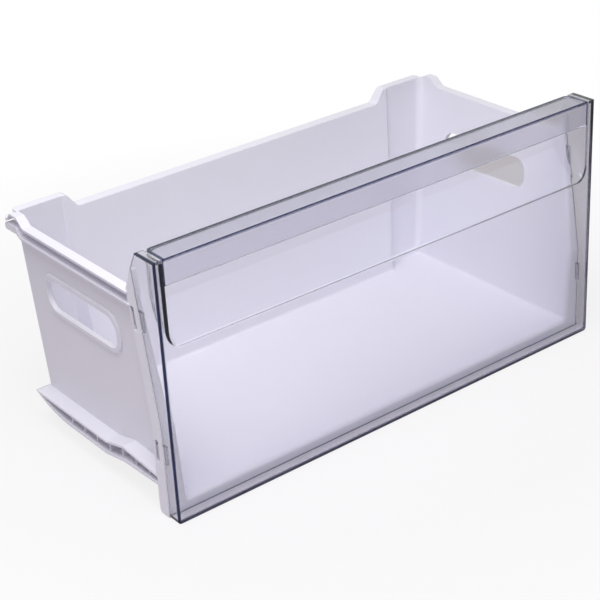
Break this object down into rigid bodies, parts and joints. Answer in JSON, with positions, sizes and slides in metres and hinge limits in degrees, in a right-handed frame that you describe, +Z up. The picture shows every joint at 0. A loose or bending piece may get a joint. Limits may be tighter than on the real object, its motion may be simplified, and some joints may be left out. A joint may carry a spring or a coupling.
{
  "type": "freezer drawer",
  "caption": "Freezer drawer: a white moulded tub with side hand-holes, guide grooves and ribbed runners, closed by a clear clip-on front with a scooped finger recess.",
  "frame": {"origin": "On the ground plane under the middle of the drawer's bounding box, at the level of the front panel's bottom edge", "axes": "X runs along the front panel to the right as the user sees it, Y runs back into the cabinet, Z is up"},
  "size_m": [0.453, 0.221, 0.222],
  "materials": {
    "white_plastic": "satin",
    "clear_plastic": "clear, polished"
  },
  "bodies": {
    "root": {"tub": "white_plastic", "front_panel": "clear_plastic", "handle_strip": "clear_plastic"}
  },
  "joints": []
}
